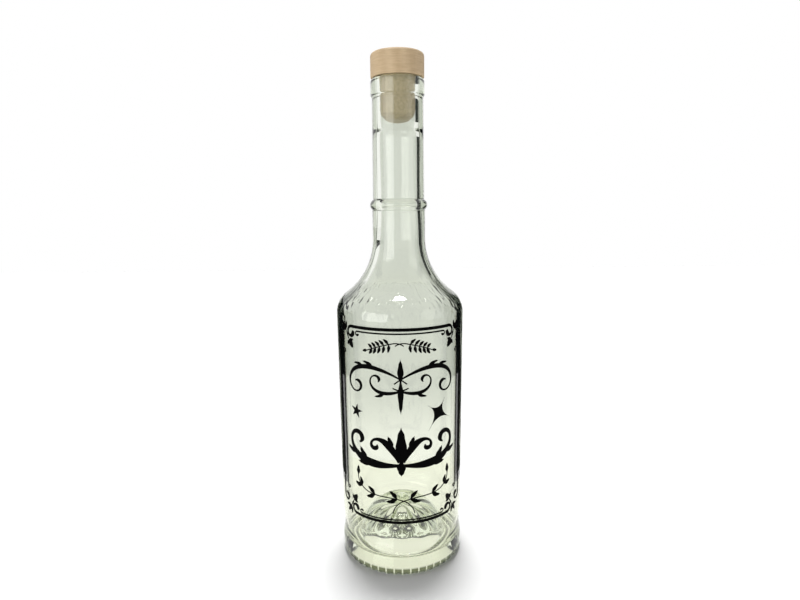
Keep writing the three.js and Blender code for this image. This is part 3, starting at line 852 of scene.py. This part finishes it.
def bottom_laurel():
    """Two long stems that cross and trail, with open pairs of leaves. One half."""

    def curvature(share):
        past = (share - BOTTOM_LAUREL_CROSSING) / (1 - BOTTOM_LAUREL_CROSSING)
        return -0.1 if past < 0 else -0.03 + 0.207 * past**2

    stem = laurel_stem((-6.4, -49), 80, 44, curvature)
    shapes = [stroke(stem), leaf_on(stem, STEM_SECTIONS, 0, 5.8, 2.7)]
    for section, length in ((4, 6.6), (9, 6.2), (13, 5.4)):
        shapes.append(leaf_on(stem, section, 52, length, 2.5, -34))
        shapes.append(leaf_on(stem, section, -46, length, 2.6, 38))
    return shapes


def upper_flourish():
    """Fine pen scrolls that cross in the middle. One half."""
    main_widths = [(0, 0.7), (0.42, 2.5), (0.8, 0.9), (0.95, 1.9), (1, 0.7)]
    under_widths = [(0, 0.7), (0.4, 2), (0.8, 0.8), (0.94, 1.7), (1, 0.6)]
    main = swirl((-3.4, 25.6), 38, 60, -0.022, -0.42, main_widths)
    under = swirl((-4.2, 23.4), -26, 34, 0.03, 0.6, under_widths)
    return [
        stroke(main),
        stroke(under),
        leaf_on(main, 5, 34, 7.4, 2, -36),
        leaf_on(main, 7, 36, 7, 1.8, -40),
        leaf_on(under, 6, -40, 6.4, 1.8, 36),
    ]


def lower_flourish():
    """Bold scrolls beside a palmette. One half."""
    outer_widths = [(0, 1.6), (0.36, 4.8), (0.72, 2), (0.93, 3), (1, 1)]
    inner_widths = [(0, 2), (0.35, 4), (0.72, 1.4), (0.93, 2.6), (1, 0.8)]
    outer = swirl((-1.5, -20), -6, 54, 0.01, 0.42, outer_widths)
    inner = swirl((1, -18.5), 66, 30, -0.02, -0.78, inner_widths)
    return [
        stroke(outer),
        stroke(inner),
        leaf_on(outer, 6, 34, 9, 3.4, 20),
        leaf_on(outer, 5, -26, 9.5, 3.2, 26),
        leaf_on(outer, 9, -34, 8.4, 2.8, 30),
        leaf_on(inner, 4, 30, 8, 3, -20),
    ]


def star(centre, points, outer, inner, turn):
    outline = []
    for i in range(2 * points):
        radius = inner if i % 2 else outer
        angle = math.radians(turn) + i * math.pi / points
        outline.append((centre[0] + radius * math.cos(angle), centre[1] + radius * math.sin(angle)))
    return fan(outline, centre)


def sparkle(centre, rays, waist, turn):
    """Rays of different lengths, a quarter turn apart, with hollow sides between them."""

    def on_ray(length, quarters):
        angle = math.radians(turn) + quarters * math.pi / 2
        return centre[0] + length * math.cos(angle), centre[1] + length * math.sin(angle)

    outline = []
    for i, ray in enumerate(rays):
        following = rays[(i + 1) % len(rays)]
        outline += bend(on_ray(ray, i), on_ray(waist, i + 0.5), on_ray(following, i + 1), 16)
    return fan(outline, centre)


def ornaments():
    """The ornaments inside the frame, keyed by node name."""

    def whole(half, middle=()):
        return [*half, *(mirrored(shape) for shape in half), *middle]

    def settled(sheets, shift, width):
        return [reshaped(sheet, lambda u, v: (shift + width * u, v)) for sheet in sheets]

    lozenge = [leaf((0, 26.6), 90, 12, 3.4), leaf((0, 28), -90, 19, 3.2)]
    palmette = [leaf((0, -19), 90, 20.5, 6.2), leaf((0, -17.5), -90, 9, 5)]
    return {
        "film_laurel_top": settled(whole(top_laurel()), TOP_LAUREL_SHIFT, TOP_LAUREL_WIDTH),
        "film_laurel_bottom": settled(whole(bottom_laurel()), BOTTOM_LAUREL_SHIFT, BOTTOM_LAUREL_WIDTH),
        "film_flourish_upper": whole(upper_flourish(), lozenge),
        "film_flourish_lower": whole(lower_flourish(), palmette),
        "film_star": [star(**STAR)],
        "film_sparkle": [sparkle(**SPARKLE)],
    }


def bent(u, v, out):
    radius = BODY_RADIUS + FILM_CLEARANCE + out
    angle = u * MM / BODY_RADIUS
    return radius * math.sin(angle), -radius * math.cos(angle), (FRAME_MIDDLE + v) * MM


def film_piece(node, sheets, material):
    """The sheets of one node, bent round the glass and given the film's thickness."""
    verts, faces = [], []
    for points, sheet_faces, edge in sheets:
        low = len(verts)
        high = low + len(points)
        verts += [bent(u, v, 0) for u, v in points]
        verts += [bent(u, v, FILM_THICKNESS) for u, v in points]
        faces += [tuple(low + i for i in reversed(face)) for face in sheet_faces]
        faces += [tuple(high + i for i in face) for face in sheet_faces]
        for i, a in enumerate(edge):
            b = edge[(i + 1) % len(edge)]
            faces.append((low + a, low + b, high + b, high + a))
    obj = new_object("cut_" + node, verts, faces, material, smooth=False)
    made = bmesh.new()
    made.from_mesh(obj.data)
    bmesh.ops.recalc_face_normals(made, faces=made.faces)
    made.to_mesh(obj.data)
    made.free()
    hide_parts(node)
    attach(obj, "bottle")


# Studio

WHITE = (1, 1, 1, 1)
FLOOR_SIZE = 3.0
FLOOR_COLOUR = (0.9, 0.9, 0.9)
FLOOR_ROUGHNESS = 0.8
SEEN_FLOOR = (0.93, 0.94, 0.77)  # the cream surface that the glass shows
SEEN_SHARE = 0.85
WORLD_LEVEL = 0.28
SUN_LEVEL = 2.7
SUN_SOFTNESS = 14
SUN_TILT = -10
KEY = {"place": (-0.8, -0.8, 0.35), "size": (1.0, 0.7), "power": 5.0}
FILL = {"place": (0.8, -0.4, 0.4), "size": (0.6, 0.6), "power": 0.6}
CARD_COLOUR = (0.012, 0.016, 0.016)
BODY_CARD_DISTANCE = 0.1
BODY_CARD_FOOT = 0.01
BODY_CARD_TOP = 0.17
BODY_CARD_BEARINGS = (66, 38)  # degrees from straight back, of a card's two upright edges
NECK_CARD_DISTANCE = 0.26
NECK_CARD_FOOT = 0.05
LEFT_NECK_CARD_TOP = 0.185
RIGHT_NECK_CARD_TOP = 0.3
NECK_CARD_BEARINGS = (95, 33)
BACK_DISTANCE = 0.12
BACK_HALF_WIDTH = 0.1
BACK_TOP = 0.5
BACK_COLOUR = (0.64, 0.665, 0.61)
BACK_FOOT = (0.97, 0.98, 0.9)
BACK_FADE = 0.07  # height over which the wall's grey fades into the pale floor


def seen_directly(tree):
    """Light Path output that is 1 for camera, glossy and transmitted rays."""
    path = tree.nodes.new("ShaderNodeLightPath")
    seen = path.outputs["Is Camera Ray"]
    for other in ("Is Glossy Ray", "Is Transmission Ray"):
        either = tree.nodes.new("ShaderNodeMath")
        either.operation = "MAXIMUM"
        tree.links.new(seen, either.inputs[0])
        tree.links.new(path.outputs[other], either.inputs[1])
        seen = either.outputs["Value"]
    return seen


def world():
    """Dim as a light, and white where it is seen."""
    made = bpy.data.worlds.new("studio")
    bpy.context.scene.world = made
    made.use_nodes = True
    tree = made.node_tree
    background = tree.nodes["Background"]
    background.inputs["Color"].default_value = WHITE
    background.inputs["Strength"].default_value = WORLD_LEVEL
    seen = tree.nodes.new("ShaderNodeBackground")
    seen.inputs["Color"].default_value = WHITE
    seen.inputs["Strength"].default_value = 1.0
    mix = tree.nodes.new("ShaderNodeMixShader")
    tree.links.new(seen_directly(tree), mix.inputs["Fac"])
    tree.links.new(background.outputs["Background"], mix.inputs[1])
    tree.links.new(seen.outputs["Background"], mix.inputs[2])
    tree.links.new(mix.outputs["Shader"], tree.nodes["World Output"].inputs["Surface"])


def flat_sheet(name, corners, shader):
    return new_object(name, corners, [(0, 1, 2, 3)], shader.material, smooth=False)


def upright_corners(near, far, foot, top):
    """Corners of an upright sheet between two points of the floor."""
    return [(*near, foot), (*far, foot), (*far, top), (*near, top)]


def matt_shader(name, colour, roughness):
    shader = Shader(name)
    shader.give("Base Color", (*colour, 1))
    shader.give("Roughness", roughness)
    shader.give("Specular IOR Level", 0.0)
    return shader


def floor():
    half = FLOOR_SIZE / 2
    corners = [(-half, -half, 0), (half, -half, 0), (half, half, 0), (-half, half, 0)]
    shader = matt_shader("pale_floor", FLOOR_COLOUR, FLOOR_ROUGHNESS)
    through_glass = shader.node("ShaderNodeLightPath").outputs["Is Transmission Ray"]
    share = shader.maths("MULTIPLY", through_glass, SEEN_SHARE)
    glow = shader.glow((*SEEN_FLOOR, 1))
    shader.show(shader.blend(share, shader.principled.outputs["BSDF"], glow))
    flat_sheet("floor", corners, shader)


def back_card():
    """The pale grey wall close behind the bottle, seen only through the glass."""
    shader = Shader("grey_wall")
    split = shader.node("ShaderNodeSeparateXYZ")
    shader.link(shader.place(), split.inputs["Vector"])
    height = shader.eased(split.outputs["Z"], (0, BACK_FADE))
    shader.show(shader.glow(shader.ramp(height, [(0, BACK_FOOT), (1, BACK_COLOUR)])))
    left, right = (-BACK_HALF_WIDTH, BACK_DISTANCE), (BACK_HALF_WIDTH, BACK_DISTANCE)
    obj = flat_sheet("back_card", upright_corners(left, right, 0, BACK_TOP), shader)
    obj.visible_camera = False
    obj.visible_diffuse = False
    obj.visible_glossy = False
    obj.visible_shadow = False


def dark_card(name, side, distance, bearings, foot, top):
    """A black flag behind the bottle, on its left with side -1 or on its right with 1.

    Only light that was turned back inside the glass meets it, so it darkens the glass's edges.
    """
    shader = matt_shader(name, CARD_COLOUR, 1.0)
    turns = shader.node("ShaderNodeLightPath").outputs["Glossy Depth"]
    turned_back = shader.maths("GREATER_THAN", turns, 0.5)
    through = shader.node("ShaderNodeBsdfTransparent").outputs["BSDF"]
    shader.show(shader.blend(turned_back, through, shader.principled.outputs["BSDF"]))
    near, far = (
        (side * distance * math.sin(math.radians(bearing)), distance * math.cos(math.radians(bearing)))
        for bearing in bearings
    )
    obj = flat_sheet(name, upright_corners(near, far, foot, top), shader)
    obj.visible_camera = False
    obj.visible_diffuse = False
    obj.visible_shadow = False


def dark_cards():
    for name, side, neck_top in (("left", -1, LEFT_NECK_CARD_TOP), ("right", 1, RIGHT_NECK_CARD_TOP)):
        body = (BODY_CARD_DISTANCE, BODY_CARD_BEARINGS, BODY_CARD_FOOT, BODY_CARD_TOP)
        neck = (NECK_CARD_DISTANCE, NECK_CARD_BEARINGS, NECK_CARD_FOOT, neck_top)
        dark_card(name + "_body_card", side, *body)
        dark_card(name + "_neck_card", side, *neck)


def softbox(name, place, size, power):
    """A soft rectangular lamp that points at the middle of the bottle."""
    data = bpy.data.lights.new(name, "AREA")
    data.shape = "RECTANGLE"
    data.size, data.size_y = size
    data.energy = power
    obj = bpy.data.objects.new(name, data)
    obj.location = place
    aim = Vector((0, 0, LIP_TOP / 2)) - Vector(place)
    obj.rotation_euler = aim.to_track_quat("-Z", "Y").to_euler()
    bpy.context.collection.objects.link(obj)


def sky():
    sun = bpy.data.lights.new("sky", "SUN")
    sun.energy = SUN_LEVEL
    sun.angle = math.radians(SUN_SOFTNESS)
    obj = bpy.data.objects.new("sky", sun)
    obj.rotation_euler = (math.radians(SUN_TILT), 0, 0)
    bpy.context.collection.objects.link(obj)


def studio():
    world()
    floor()
    dark_cards()
    back_card()
    softbox("key", **KEY)
    softbox("fill", **FILL)
    sky()


def dress_node(name, material):
    obj = frame["nodes"][name]
    for slot in obj.material_slots:
        slot.material = material


bpy.context.scene.view_settings.view_transform = "Standard"
camera()
studio()
glass_bottle(glass_material())
dress_node("stopper_head", wood_material())
dress_node("stopper_shank", synthetic_material())
black = film_material()
for node, sheets in {**frame_lines(), **corner_ornaments(), **ornaments()}.items():
    film_piece(node, sheets, black)
